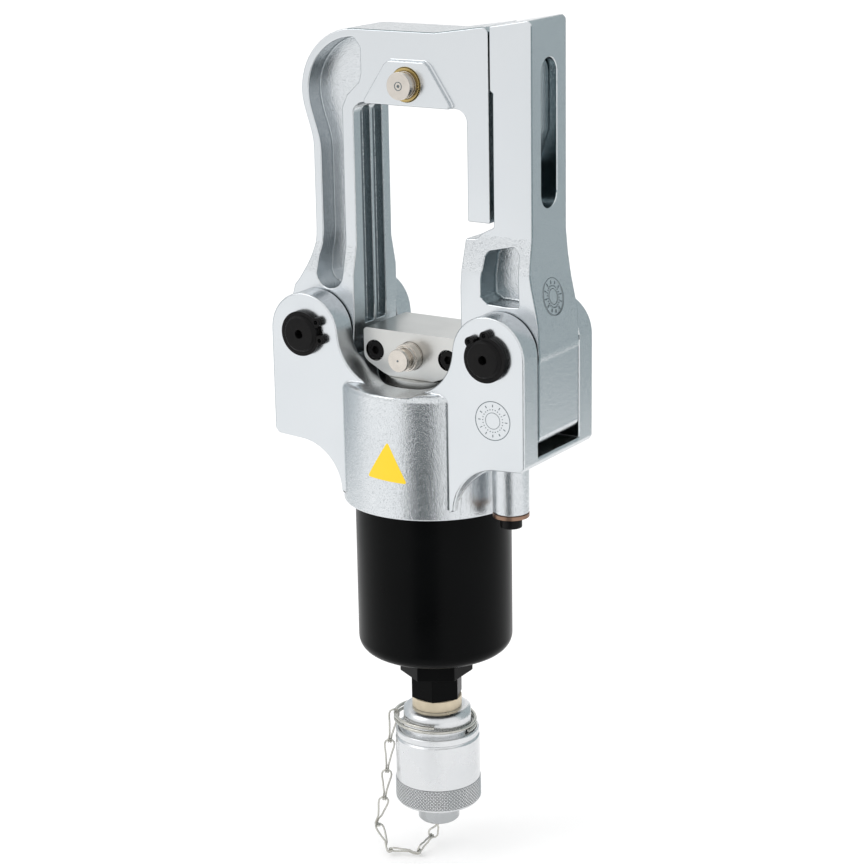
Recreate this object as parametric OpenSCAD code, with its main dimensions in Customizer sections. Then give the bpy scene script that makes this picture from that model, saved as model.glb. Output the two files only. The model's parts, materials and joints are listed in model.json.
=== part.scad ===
// Hydraulic crimping head: a hinged yoke, a swing latch and a ram fed by a pump line.
// Millimetres. +Z runs up the ram's axis, the pivot pins lie along Y, the yoke opens to -X.
// The modules work from the pins' height and on_grip() lifts them to the origin on the barrel.

/* [Pivots] */
// Distance between the two pivot pins
pin_span = 84.8; // [84:0.1:86]
// Diameter of the pivot pins
pin_d = 16; // [15:0.1:16.4]
// Length of the pivot pins
pin_len = 60.6; // [60:0.1:64]
// Radial gap of every turning or sliding fit
running_gap = 0.05; // [0.03:0.01:0.08]
// Thickness of one retaining ring
clip_t = 1.2; // [1:0.05:1.3]

/* [Head] */
// Radius of the ears round the pins
ear_r = 15.9; // [15.6:0.1:16.2]
// Depth of the head over its ears
head_depth = 53.2; // [52.8:0.1:53.6]
// Width of the slot between the ears
slot_w = 31.6; // [31.2:0.1:32.6]
// Drop of the underside of the web below the pins
web_drop = 44.4; // [43.6:0.1:46]
// Drop of the valley's floor below the pins
valley_drop = 18.3; // [18.1:0.1:19]
// Diameter of the round boss
boss_d = 72; // [71.6:0.2:74]
// Drop of the boss's shoulder below the pins
boss_top_drop = 17.2; // [16.8:0.2:18]
// Drop of the boss's rim below the pins
boss_low_drop = 67.6; // [67:0.1:69]

/* [Barrel and ram] */
// Outer diameter of the barrel
barrel_d = 63; // [62:0.5:64]
// Bore of the barrel, which the piston fills
bore_d = 50; // [49.6:0.1:52]
// Drop of the barrel's underside below the pins
barrel_low_drop = 132.8; // [131:0.2:136]
// Diameter of the ram's rod
rod_d = 36; // [35:0.2:36.6]
// Thickness of the piston
piston_t = 13; // [12.6:0.1:14]
// Travel of the ram
stroke = 42; // [40:0.5:42.5]
// Wire of the return spring
return_wire = 3; // [2.4:0.1:3.1]

/* [Die seats] */
// Width of the lower die adapter
block_w = 44.4; // [43.6:0.2:45]
// Depth of the lower and upper die seats, front to back
seat_depth = 29.4; // [29:0.1:30]
// Rise of the lower die seat above the pins
block_rise = 2.2; // [2:0.1:2.6]
// Rise of the upper die seat above the pins
jaw_rise = 90.5; // [90:0.1:92]
// Travel of the lower die pin when it is pushed in
lower_pin_travel = 9; // [8:0.1:9]
// Travel of the upper die pin when it is pushed in
upper_pin_travel = 4.5; // [4:0.1:5]

/* [Yoke] */
// Depth of the yoke's arms
arm_depth = 25; // [24:0.2:25.6]
// Depth of the hubs between the ears
hub_depth = 30.6; // [30:0.1:30.8]
// Radius of the hubs round the pins
hub_r = 16.2; // [15.8:0.1:16.6]
// Half width of the opening between the arms
opening_half = 25.8; // [25.4:0.1:26]
// Rise of the yoke's top edge above the pins
yoke_top = 118.5; // [117.8:0.1:119]
// Thickness of the web behind the kidney pockets
web_t = 9; // [8:0.2:11]
// Depth of the two grooves in the left arm's inner face
groove_t = 3.8; // [2.6:0.1:4]

/* [Latch] */
// Depth of the latch above its pocket
latch_depth = 26; // [25.4:0.2:27]
// Distance of the latch's outer face from the middle
latch_out = 54.2; // [53.8:0.1:54.8]
// Rise of the latch's top corner
latch_top = 124.9; // [124:0.1:126]
// Width of the latch's slot
latch_slot_w = 11.5; // [11.4:0.1:12.4]
// Rise of the slot's lower end
latch_slot_low = 54; // [53:0.2:56]

/* [Coupling] */
// Height of the hexagon screwed into the barrel
adapter_h = 11.2; // [10.6:0.1:12]
// Height of the nipple's hexagon
nipple_h = 10.5; // [10:0.1:11.4]
// Height of the sealing ring
seal_h = 4.5; // [4:0.1:5]
// Outer diameter of the coupler's collar
collar_d = 29.8; // [29.2:0.1:30.4]
// Outer diameter of the dust cap
cap_d = 35; // [34.6:0.1:35.6]
// Height of the dust cap
cap_h = 32.3; // [32:0.1:33]
// Wire of the split ring
ring_wire = 1.4; // [1.2:0.05:1.5]
// Wire of the chain's links
link_wire = 0.8; // [0.7:0.05:0.85]

/* [Hidden] */
$fn = 72;
px = pin_span / 2;
pin_r = pin_d / 2;
ear_y = head_depth / 2;
ear_x = px + ear_r;
slot_y = slot_w / 2;
core_x = px - 18.4;
slot_z = -39.6;
boss_r = boss_d / 2;
rim_z = -boss_low_drop;
barrel_r = barrel_d / 2;
bore_r = bore_d / 2;
rod_r = rod_d / 2;
neck_z = rim_z + 7.6;
bush_top = neck_z + 18;
barrel_top = neck_z + 10;
barrel_low = -barrel_low_drop;
spigot_r = barrel_r - 1;
foot_r = 6;
// The origin lies in the middle of the barrel's straight grip
pin_z = (boss_low_drop + barrel_low_drop - foot_r) / 2;
piston_top = neck_z - stroke - 0.3;
piston_low = piston_top - piston_t;
floor_z = piston_low - 0.5;
hollow_low = piston_low + 5.3;
hollow_top = -25;
hollow_r = 10.5;
bolt_low = hollow_top - 5;
shoulder_z = -valley_drop + 1.8;
lug_y = 15.3;
lug_x = sqrt(pow(boss_r + 12.1, 2) - lug_y * lug_y);
block_top = block_rise;
tenon_top = -3;
tenon_y = 8;
screw_x = 16.9;
screw_z = -6.8;
lower_pin_z = -7;
upper_pin_z = jaw_rise + 8.2;
seat_y = seat_depth / 2;
arm_y = arm_depth / 2;
hub_y = hub_depth / 2;
adapter_z = barrel_low;
nipple_z = adapter_z - adapter_h;
seal_z = nipple_z - nipple_h;
collar_z = seal_z - seal_h;
flange_z = collar_z - 9.4;
cap_z = flange_z - 0.1;
cap_low = cap_z - cap_h;
sleeve_r = 13.5;
cap_seat = cap_low + 7.6;
stub_r = 8.57;
stub_low = cap_low - 9.4;
ring_r = 17.3 - ring_wire / 2;
ring_pitch = 2.025;
view_turn = 33;

function arc(cx, cz, r, a0, a1, n = 12) =
    [for (i = [0:n]) let (a = a0 + (a1 - a0) * i / n) [cx + r * cos(a), cz + r * sin(a)]];
function ease(x0, z0, x1, z1, n = 8) =
    [for (i = [0:n]) let (t = i / n) [x0 + (x1 - x0) * t * t * (3 - 2 * t), z0 + (z1 - z0) * t]];
function mirrored(p) = [for (i = [len(p) - 1:-1:0]) [-p[i][0], p[i][1]]];
function unit(v) = v / norm(v);
function square_to(v, t) = unit(v - (v * t) * t);
function tangents(p) =
    [for (i = [0:len(p) - 1]) unit(p[min(i + 1, len(p) - 1)] - p[max(i - 1, 0)])];
function normals(t, n, i = 0) =
    i == len(t) ? [] : let (m = square_to(n, t[i])) concat([m], normals(t, m, i + 1));
function coil(r, z0, z1, turns, steps) =
    [for (i = [0:steps]) let (a = 360 * turns * i / steps)
        [r * cos(a), r * sin(a), z0 + (z1 - z0) * i / steps]];

module on_grip() translate([0, 0, pin_z]) children();

module at_pin(side) translate([side * px, 0, 0]) rotate([90, 0, 0]) children();

module across(depth) rotate([90, 0, 0]) linear_extrude(depth, center = true) children();

module rod_y(x, z, r, y0, y1) translate([x, y1, z]) rotate([90, 0, 0]) cylinder(r = r, h = y1 - y0);

module rod(r, z0, z1) translate([0, 0, z0]) cylinder(r = r, h = z1 - z0);

module pipe(r_out, r_in, z0, z1) {
    difference() {
        rod(r_out, z0, z1);
        rod(r_in, z0 - 1, z1 + 1);
    }
}

// One round wire along a list of points, its section carried along without twist
module wire(p, r, sides, seed) {
    t = tangents(p);
    n = normals(t, seed);
    last = (len(p) - 1) * sides;
    skin = [for (i = [0:len(p) - 1]) for (k = [0:sides - 1])
        p[i] + r * (cos(360 * k / sides) * n[i] + sin(360 * k / sides) * cross(t[i], n[i]))];
    up = [for (i = [0:len(p) - 2]) for (k = [0:sides - 1])
        [i * sides + k, (i + 1) * sides + k, (i + 1) * sides + (k + 1) % sides]];
    down = [for (i = [0:len(p) - 2]) for (k = [0:sides - 1])
        [i * sides + k, (i + 1) * sides + (k + 1) % sides, i * sides + (k + 1) % sides]];
    front = [for (k = [1:sides - 2]) [0, k, k + 1]];
    back = [for (k = [1:sides - 2]) [last, last + k + 1, last + k]];
    polyhedron(skin, concat(up, down, front, back));
}

// Front outline of the head: two ears, the valley between them and the neck into the boss
function valley_arc() = arc(px - ear_r - 20, 20 - valley_drop, 20, -2, -90, 14);

function half_head() = concat(
    [[0, -63.5], [px - 16, -63.5]],
    arc(px + 4, -64, 20, 178, 90, 12),
    [[ear_x - 1.6, -web_drop + 1], [ear_x, -web_drop + 2.8]],
    arc(px, 0, ear_r, 0, 173.8, 28),
    valley_arc());

module head_body() {
    color([0.80, 0.82, 0.84]) on_grip() difference() {
        union() {
            across(head_depth) polygon(concat(half_head(), mirrored(half_head())));
            // Boss, its top hollowed by the same valley as the web
            difference() {
                union() {
                    rod(boss_r, rim_z, -boss_top_drop - 3);
                    rotate_extrude() polygon(concat([[0, -boss_top_drop - 4], [boss_r, -boss_top_drop - 4]],
                        arc(boss_r - 3, -boss_top_drop - 3, 3, 0, 90, 5), [[0, -boss_top_drop]]));
                }
                across(90) polygon(concat([[0, 10], [px - ear_r, 10]], valley_arc(),
                    mirrored(concat([[px - ear_r, 10]], valley_arc()))));
            }
            translate([lug_x, -lug_y, 0]) rod(7.15, -63.4, -43);
        }
        // Clevis slots for the yoke's hub and the latch
        for (side = [-1, 1])
            translate([side * (core_x + 30), 0, slot_z + 35]) cube([60, slot_w, 70], center = true);
        for (side = [-1, 1]) at_pin(side) cylinder(r = pin_r + running_gap, h = 80, center = true);
        // Ram bore, wiper recess and bush seat
        rod(rod_r + 0.3, -80, 0);
        rod(rod_r + 3, -24, 0);
        rod(rod_r + 4, -80, bush_top);
        // Threaded socket for the barrel, round the neck that the piston stops against
        difference() {
            rod(spigot_r + 0.02, -90, barrel_top);
            rod(bore_r - 0.1, neck_z, 0);
        }
        rod(bore_r, -90, neck_z);
        // Screw hole in the lug
        translate([lug_x, -lug_y, 0]) rod(3, -80, -50);
    }
}

module barrel() {
    color([0.05, 0.05, 0.055]) on_grip() difference() {
        union() {
            rod(barrel_r, barrel_low + foot_r, rim_z);
            rod(spigot_r, rim_z - 1, barrel_top);
            rotate_extrude() polygon(concat([[0, barrel_low + foot_r]], [[0, barrel_low]],
                arc(barrel_r - foot_r, barrel_low + foot_r, foot_r, -90, 0, 8)));
        }
        rod(bore_r, floor_z, 0);
        rod(5, barrel_low - 1, floor_z + 1);
        rod(9, barrel_low - 1, barrel_low + 9.8);
    }
}

module ram() {
    color([0.75, 0.76, 0.78]) on_grip() difference() {
        union() {
            rod(rod_r, piston_low, shoulder_z);
            rod(bore_r - running_gap, piston_low, piston_top);
            intersection() {
                rod(rod_r, shoulder_z - 1, tenon_top);
                translate([0, 0, -20]) cube([80, 2 * tenon_y, 60], center = true);
            }
        }
        rod(hollow_r, hollow_low, hollow_top);
        rod(5.3, piston_low - 1, hollow_low + 1);
        // Grooves for the guide ring and the seal
        difference() {
            rod(40, piston_top - 9.4, piston_top - 5.2);
            rod(bore_r - 4, -200, 0);
        }
        difference() {
            rod(40, piston_top - 4, piston_top - 1.6);
            rod(bore_r - 2, -200, 0);
        }
        for (side = [-1, 1]) rod_y(side * screw_x, screw_z, 2.6, -20, 20);
        rod_y(0, lower_pin_z, 6.6, -20, 20);
    }
}

module piston_seal() {
    color([0.12, 0.12, 0.12]) on_grip()
        pipe(bore_r - 0.03, bore_r - 4, piston_top - 9.4, piston_top - 5.2);
}

module piston_guide_ring() {
    color([0.55, 0.38, 0.22]) on_grip()
        pipe(bore_r - 0.03, bore_r - 2, piston_top - 4, piston_top - 1.6);
}

module ram_bush() {
    color([0.72, 0.56, 0.30]) on_grip() pipe(rod_r + 4, rod_r + running_gap, neck_z, bush_top);
}

module ram_wiper() {
    color([0.10, 0.10, 0.10]) on_grip() pipe(rod_r + 3, rod_r + running_gap, -24, -valley_drop - 1);
}

module spring_bolt() {
    color([0.30, 0.30, 0.32]) on_grip() difference() {
        union() {
            rod(5, floor_z - 6.5, floor_z);
            rod(4, floor_z - 1, bolt_low + 1);
            rod(hollow_r - 1, bolt_low, bolt_low + 4);
        }
        rod(1.8, floor_z - 10, piston_low + 4);
        translate([0, 0, piston_low + 3]) rotate([90, 0, 0]) cylinder(r = 1, h = 20, center = true);
    }
}

module return_spring() {
    r = return_wire / 2;
    color([0.45, 0.46, 0.48]) on_grip()
        wire(coil(7.5, hollow_low + r + 0.05, bolt_low - r - 0.05, 10.5, 84), r, 6, [1, 0, 0]);
}

// Front outline of the block that carries the lower die
function half_block() = [[0, shoulder_z], [10.4, shoulder_z], [13.1, shoulder_z + 1.1],
    [block_w / 2 - 1.8, shoulder_z + 5], [block_w / 2 - 0.5, shoulder_z + 6.4],
    [block_w / 2, shoulder_z + 8], [block_w / 2, block_top - 1], [block_w / 2 - 1, block_top],
    [0, block_top]];

module die_adapter() {
    color([0.70, 0.71, 0.72]) on_grip() difference() {
        across(seat_depth) polygon(concat(half_block(), mirrored(half_block())));
        intersection() {
            rod(rod_r + 0.1, shoulder_z - 5, tenon_top + 0.1);
            translate([0, 0, -20]) cube([80, 2 * tenon_y + 0.2, 60], center = true);
        }
        rod_y(0, lower_pin_z, 5.5 + running_gap, -20, 20);
        rod_y(0, lower_pin_z, 6.4, -9, 20);
        for (side = [-1, 1]) rod_y(side * screw_x, screw_z, 2.52, -20, 12.1);
        for (side = [-1, 1]) rod_y(side * screw_x, screw_z, 4.15, -20, -seat_y + 4);
    }
}

module adapter_screws() {
    color([0.08, 0.08, 0.09]) on_grip() for (side = [-1, 1]) difference() {
        union() {
            rod_y(side * screw_x, screw_z, 3.6, -seat_y + 0.5, -seat_y + 4);
            rod_y(side * screw_x, screw_z, 2.5, -seat_y + 3, 12);
        }
        translate([side * screw_x, -seat_y - 1, screw_z]) rotate([-90, 0, 0])
            cylinder(r = 1.75, h = 3.6, $fn = 6);
    }
}

module lower_die_pin() {
    color([0.78, 0.76, 0.72]) on_grip() {
        rod_y(0, lower_pin_z, 4.5, -24, -22.4);
        rod_y(0, lower_pin_z, 3.6, -22.6, -19.6);
        rod_y(0, lower_pin_z, 4.8, -19.8, -18.4);
        rod_y(0, lower_pin_z, 5.5, -18.6, -seat_y - 0.5);
        rod_y(0, lower_pin_z, 5.2, -seat_y - 0.6, -seat_y + 0.1);
        rod_y(0, lower_pin_z, 5.5, -seat_y, -8);
        rod_y(0, lower_pin_z, 6.3, -8.95, -6);
    }
}

module lower_pin_spring() {
    color([0.45, 0.46, 0.48]) on_grip() translate([0, -5.4, lower_pin_z]) rotate([-90, 0, 0])
        wire(coil(4, 0.05, 14.8, 5, 40), 0.5, 6, [1, 0, 0]);
}

module lower_pin_plug() {
    color([0.20, 0.20, 0.22]) on_grip() difference() {
        rod_y(0, lower_pin_z, 6.38, 10, seat_y);
        translate([0, seat_y + 1, lower_pin_z]) rotate([90, 0, 0]) cylinder(r = 3, h = 4, $fn = 6);
    }
}

// Front outline of the yoke
function yoke_outline() = concat(
    [[35.3, 119.9], [33.2, 121.7], [11.7, yoke_top]],
    arc(-25, yoke_top - 25, 25, 90, 180, 14),
    ease(-50, yoke_top - 25, -45.1, 71.5, 8),
    arc(-79.1, 39.5, 34, 0, -43.7, 8),
    [[-58.35, 2.8], [-px, 0], [-px + hub_r, 0], [-opening_half, 8]],
    arc(-opening_half + 5, jaw_rise - 5, 5, 180, 90, 6),
    arc(opening_half - 5.1, jaw_rise - 5, 5, 90, 0, 6),
    [[opening_half - 0.1, 48.2], [35.5, 48.2]]);

function kidney() = concat(
    [[-22, 111.5], [-25, 115.2]],
    arc(-25, yoke_top - 25, 21.7, 90, 180, 14),
    ease(-46.7, yoke_top - 25, -41.5, 70, 8),
    arc(-79.1, 39.5, 37.6, 0, -17, 4),
    arc(-37.4, 22.5, 6.3, 190, 360, 10),
    [[-31.1, 88], [-28.7, 92.9], [-23, 98.1], [-22, 101.5]]);

module yoke() {
    color([0.80, 0.82, 0.84]) on_grip() difference() {
        union() {
            intersection() {
                across(hub_depth) polygon(yoke_outline());
                rotate([90, 0, 90]) linear_extrude(140, center = true) polygon([
                    [-hub_y, -30], [hub_y, -30], [hub_y, 22], [arm_y, 34],
                    [arm_y, 140], [-arm_y, 140], [-arm_y, 34], [-hub_y, 22]]);
            }
            at_pin(-1) cylinder(r = hub_r, h = hub_depth, center = true);
            // Seat of the upper die
            across(seat_depth) polygon([[19.4, jaw_rise], [19.4, jaw_rise + 1.5],
                [9.9, jaw_rise + 15.4], [8, jaw_rise + 17], [-8, jaw_rise + 17],
                [-9.9, jaw_rise + 15.4], [-19.4, jaw_rise + 1.5], [-19.4, jaw_rise]]);
            // Tongue that stands in the latch's slot
            intersection() {
                across(20) polygon([[34, 61], [46.5, 70], [48.4, 75], [51, 83], [51, 112], [34, 112]]);
                union() {
                    translate([40, 0, 80]) cube([60, 10.9, 48.5], center = true);
                    translate([0, 0, 104.25]) rotate([0, 90, 0]) cylinder(r = 5.45, h = 80);
                }
            }
        }
        at_pin(-1) cylinder(r = pin_r + running_gap, h = 80, center = true);
        for (side = [-1, 1]) translate([0, side * (web_t / 2 + 20), 0]) across(40) polygon(kidney());
        // Two grooves down the left arm's inner face
        for (side = [-1, 1]) translate([-opening_half - groove_t, side * 4.125, 0]) {
            translate([0, -3.225, 2]) cube([8, 6.45, 82.8]);
            translate([0, 0, 84.8]) rotate([0, 90, 0]) cylinder(r = 3.225, h = 8);
        }
        rod_y(0, upper_pin_z, 6.4, -20, 20);
    }
}

module upper_die_button() {
    color([0.78, 0.78, 0.78]) on_grip() {
        rod_y(0, upper_pin_z, 5.3, -19.7, -17.2);
        rod_y(0, upper_pin_z, 4.5, -17.4, -15.4);
        rod_y(0, upper_pin_z, 5.3, -15.6, -5);
        rod_y(0, upper_pin_z, 6.2, -6, -3.5);
    }
}

module upper_bush() {
    color([0.75, 0.60, 0.30]) on_grip() difference() {
        rod_y(0, upper_pin_z, 6.4, -seat_y - 0.5, -6.05);
        rod_y(0, upper_pin_z, 5.3 + running_gap, -30, 0);
    }
}

module upper_button_spring() {
    color([0.45, 0.46, 0.48]) on_grip() translate([0, -2.95, upper_pin_z]) rotate([-90, 0, 0])
        wire(coil(4, 0.05, 11.35, 5, 40), 0.5, 6, [1, 0, 0]);
}

module upper_button_plug() {
    color([0.20, 0.20, 0.22]) on_grip() difference() {
        rod_y(0, upper_pin_z, 6.38, 9, seat_y);
        translate([0, seat_y + 1, upper_pin_z]) rotate([90, 0, 0]) cylinder(r = 3, h = 4, $fn = 6);
    }
}

// Front outline of the latch
function latch_outline() = concat(
    [[36.1, 122], [latch_out - 1.5, latch_top], [latch_out, latch_top - 1.4], [latch_out, 36]],
    ease(latch_out, 34, ear_x, 7, 6),
    arc(ear_x - 4, -31.5, 4, 0, -90, 5),
    [[px - 0.4, -35.5], [px - 0.4, -10], [px - hub_r, 0], [23.6, 6], [23.6, 23.6], [25.1, 41.1],
    [25.4, 42], [30.1, 42.2], [32.2, 44.4], [37.4, 47], [37.4, 97.4], [36.1, 98.4]]);

module latch() {
    color([0.80, 0.82, 0.84]) on_grip() difference() {
        union() {
            intersection() {
                across(hub_depth) polygon(latch_outline());
                rotate([90, 0, 90]) linear_extrude(140, center = true) polygon([
                    [-hub_y, -50], [hub_y, -50], [hub_y, 30], [latch_depth / 2, 44],
                    [latch_depth / 2, 140], [-latch_depth / 2, 140], [-latch_depth / 2, 44],
                    [-hub_y, 30]]);
            }
            at_pin(1) cylinder(r = hub_r, h = hub_depth, center = true);
        }
        at_pin(1) cylinder(r = pin_r + running_gap, h = 80, center = true);
        for (side = [-1, 1]) translate([0, side * (4.7 + 20), 0]) across(40) polygon(
            [[36, 38.1], [46.5, 40.5], [48.9, 38], [49.5, 18], [45, 14.2 + 3.4], [36, 14.5 + 3.4],
            [33, 20], [33, 27.3], [34.3, 35.8]]);
        // Slot for the yoke's tongue
        translate([20, 0, 0]) {
            translate([0, -latch_slot_w / 2, latch_slot_low + latch_slot_w / 2])
                cube([60, latch_slot_w, 110.25 - latch_slot_low - latch_slot_w]);
            for (z = [latch_slot_low + latch_slot_w / 2, 110.25 - latch_slot_w / 2])
                translate([0, 0, z]) rotate([0, 90, 0]) cylinder(r = latch_slot_w / 2, h = 60);
        }
    }
}

// A pivot pin with chamfered ends, a groove for the rings and a centre hole at each end
module pivot_pin(side) {
    half = pin_len / 2;
    groove_y = ear_y + 2 * clip_t + 0.1;
    at_pin(side) difference() {
        union() {
            cylinder(r = pin_r, h = pin_len - 3, center = true);
            for (end = [0, 180]) rotate([end, 0, 0]) rotate_extrude()
                polygon([[0, 0], [pin_r, 0], [pin_r, half - 1.5], [pin_r - 1.5, half], [0, half]]);
        }
        for (end = [0, 180]) rotate([end, 0, 0]) {
            difference() {
                translate([0, 0, ear_y]) cylinder(r = 20, h = groove_y - ear_y);
                cylinder(r = pin_r - 0.6, h = 60);
            }
            translate([0, 0, half - 4]) cylinder(r = 1.75, h = 10);
        }
    }
}

module yoke_pin() color([0.08, 0.08, 0.09]) on_grip() pivot_pin(-1);

module latch_pin() color([0.08, 0.08, 0.09]) on_grip() pivot_pin(1);

// Front outline of one retaining ring, its gap turned to the given angle
module ring_shape(turn) {
    rotate(turn) difference() {
        union() {
            difference() {
                translate([-0.15, 0]) circle(r = pin_r + 1);
                polygon([[0, 0], 20 * [cos(12), sin(12)], 20 * [cos(12), -sin(12)]]);
            }
            for (s = [-1, 1]) rotate(s * 23.5) translate([pin_r + 0.9, 0]) circle(r = 2);
        }
        circle(r = pin_r - 0.6);
        for (s = [-1, 1]) rotate(s * 23.5) translate([pin_r + 1.2, 0]) circle(r = 0.85);
    }
}

module rings(side, turn) {
    for (end = [-1, 1]) for (k = [0, 1])
        translate([side * px, end * (ear_y + clip_t / 2 + k * (clip_t + 0.1)), 0])
            across(clip_t) ring_shape(turn);
}

module yoke_pin_clips() color([0.07, 0.07, 0.08]) on_grip() rings(-1, 12);

module latch_pin_clips() color([0.07, 0.07, 0.08]) on_grip() rings(1, 113.5);

module lug_washer() {
    color([0.72, 0.42, 0.26]) on_grip() translate([lug_x, -lug_y, 0]) pipe(7.15, 3.05, -64.9, -63.4);
}

module lug_screw() {
    color([0.08, 0.08, 0.09]) on_grip() translate([lug_x, -lug_y, 0]) difference() {
        union() {
            rod(4.3, -69.4, -64.9);
            rod(2.97, -65.5, -51);
        }
        translate([0, 0, -70]) cylinder(r = 2.3, h = 3.4, $fn = 6);
    }
}

module hex_adapter() {
    color([0.06, 0.06, 0.065]) on_grip() difference() {
        union() {
            translate([0, 0, nipple_z]) rotate(31.5) cylinder(r = 15, h = adapter_h, $fn = 6);
            rod(8.97, nipple_z + 1, adapter_z + 9);
        }
        rod(7, nipple_z - 1, nipple_z + 10);
        rod(3, nipple_z, adapter_z + 20);
    }
}

module hex_nipple() {
    color([0.06, 0.06, 0.065]) on_grip() difference() {
        union() {
            translate([0, 0, seal_z]) rotate(53) cylinder(r = 11.05, h = nipple_h, $fn = 6);
            rod(6.97, seal_z + 1, nipple_z + 9);
            rod(8, collar_z - 10, seal_z + 1);
        }
        rod(2.5, -300, 0);
    }
}

module sealing_ring() {
    color([0.78, 0.70, 0.52]) on_grip() pipe(10.25, 8.03, collar_z, seal_z);
}

// Female half of the hose coupling: collar, lip under the split ring and the cap's thread
module coupler_body() {
    cr = collar_d / 2;
    color([0.74, 0.75, 0.76]) on_grip() difference() {
        union() {
            difference() {
                rotate_extrude() polygon(concat([[0, flange_z - 1], [cr - 0.6, flange_z - 1],
                    [cr, flange_z + 1]], arc(cr - 3.6, collar_z - 3.6, 3.6, 0, 90, 6),
                    [[0, collar_z]]));
                for (s = [0, 180]) rotate(view_turn + s) translate([cr - 1, -20, collar_z - 8])
                    cube([10, 40, 20]);
            }
            rod(16.2, flange_z - 1.6, flange_z);
            rod(sleeve_r, flange_z - 13.6, flange_z - 1);
            rod(sleeve_r - 1, cap_seat + 2.4, flange_z - 2);
        }
        rod(8.02, collar_z - 11, 0);
        rod(7, cap_seat + 6, collar_z - 10);
        rod(4.6, cap_seat, -100);
    }
}

module coupler_seal() {
    color([0.12, 0.12, 0.12]) on_grip() translate([0, 0, cap_seat + 1.8])
        rotate_extrude() translate([10.4, 0]) circle(r = 0.6, $fn = 24);
}

module coupler_poppet() {
    color([0.76, 0.76, 0.77]) on_grip() {
        rod(7 - running_gap, cap_seat + 6.05, cap_seat + 8.5);
        rod(3.4, cap_seat + 8, cap_seat + 11);
        rod(4.5, cap_seat + 3, cap_seat + 6.5);
    }
}

module poppet_spring() {
    color([0.45, 0.46, 0.48]) on_grip()
        wire(coil(5.2, cap_seat + 9.1, collar_z - 10.6, 4, 32), 0.5, 6, [1, 0, 0]);
}

module split_ring() {
    path = [for (i = [0:88]) let (t = 663 * i / 88, a = -92 - t)
        [ring_r * cos(a) - 0.9, ring_r * sin(a),
            flange_z + 4.47 - ring_pitch * t / 360 + 0.9 * (1 - cos(a))]];
    color([0.66, 0.65, 0.62]) on_grip() rotate(view_turn) wire(path, ring_wire / 2, 8, [1, 0, 0]);
}

// Screwed dust cap: a lip round the coupler, a knurled band below and a hole for the swivel
module dust_cap() {
    cr = cap_d / 2;
    kr = cr + 0.4;
    color([0.76, 0.77, 0.78]) on_grip() difference() {
        union() {
            rotate_extrude() polygon([[0, cap_z], [cr - 0.6, cap_z], [cr - 0.2, cap_z - 0.4],
                [cr - 0.2, cap_z - 2.6], [cr - 0.7, cap_z - 2.9], [cr - 0.7, cap_z - 3.3],
                [cr, cap_z - 3.8], [cr, cap_low + 10.4], [kr, cap_low + 10.2], [kr, cap_low + 0.9],
                [kr - 0.9, cap_low], [0, cap_low]]);
        }
        rod(16.3, cap_z - 1.7, cap_z + 1);
        rod(sleeve_r + running_gap, cap_seat, cap_z + 1);
        rod(3.05, cap_low - 1, cap_seat + 1);
        // Room for the swivel's riveted head
        rod(6.3, cap_seat - 2.6, cap_seat + 1);
    }
}

module cap_seal() {
    color([0.15, 0.15, 0.15]) on_grip() pipe(sleeve_r, 9, cap_seat, cap_seat + 1.2);
}

// Swivel under the cap that the chain's end hangs from, with its eye
module cap_swivel() {
    color([0.74, 0.75, 0.76]) on_grip() {
        rotate_extrude() polygon([[0, stub_low], [stub_r - 0.8, stub_low], [stub_r, stub_low + 0.8],
            [stub_r, cap_low - 0.6], [stub_r - 0.4, cap_low - 0.1], [0, cap_low - 0.1]]);
        rod(3, cap_low - 1, cap_seat - 1);
        rod(6.2, cap_seat - 2.5, cap_seat - 0.4);
        rotate(view_turn) wire(concat([eye_foot(1)],
            [for (a = [0:30:180]) eye_p + eye_r * cos(a) * eye_a + [0, 0, eye_r * (1 - sin(a))]],
            [eye_foot(-1)]), link_wire / 2, 8, [0.4, 0.9, 0.1]);
    }
}

// Joints of the chain, seen square on from the front of the photograph
eye_p = [0.5, 0, stub_low - 2.5];
eye_r = 1.8;
eye_a = unit([-0.6, 0.8, 0]);
loop_r = 2;
hook_r = 1.12;
hook_s = 0.46;
function eye_foot(s) = [eye_p[0], eye_p[1], stub_low + 0.8] + s * eye_r * eye_a;
joints = [
    [-17.6, 0, flange_z + 7.1], [-19.9, 0, flange_z - 6.4], [-21.4, 0, flange_z - 20.1],
    [-22.7, 0, flange_z - 32.6], [-25.8, 0, flange_z - 44.7], [-21, -8.5, flange_z - 52.5],
    [-9.2, -9.8, flange_z - 53.1], [-3.6, -1.8, flange_z - 50.4], eye_p];
axes = [[1, 0, -0.3], [1, 0, -0.2], [1, 0, -0.1], [1, 0, -0.15], [0.77, 0.61, -0.2],
    [0.05, 0.69, -0.72], [0.02, 0.375, -0.927], [0.82, -0.34, -0.46], -eye_a];

// One link: a loop round the joint p and two hooks curled round the joint q
function half_link(p, q, a, b, s) = let (
    d = unit(q - p), len = norm(q - p), w = square_to(a, d), c = unit(b),
    e = square_to(d, c), n = cross(c, e), m = unit(w + c), span = len - loop_r - 1.8)
    concat(
        [for (t = [90:-30:0]) p + loop_r * (s * cos(t) * w + (1 - sin(t)) * d)],
        [p + 0.93 * loop_r * s * w + (loop_r + 0.15 * span) * d,
        p + 0.62 * loop_r * s * w + (loop_r + 0.45 * span) * d,
        p + 1.6 * hook_s * s * m + (loop_r + 0.78 * span) * d,
        q + hook_s * s * c + 0.85 * n - 1.8 * e],
        [for (t = [0:36:180]) q + hook_s * s * c + hook_r * (cos(t) * n + sin(t) * e)]);

function flipped(p) = [for (i = [len(p) - 1:-1:1]) p[i]];

module link(i) {
    right = half_link(joints[i], joints[i + 1], axes[i], axes[i + 1], 1);
    left = half_link(joints[i], joints[i + 1], axes[i], axes[i + 1], -1);
    wire(concat(flipped(left), right), link_wire / 2, 6, unit([0.3, 0.5, 0.8]));
}

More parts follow.
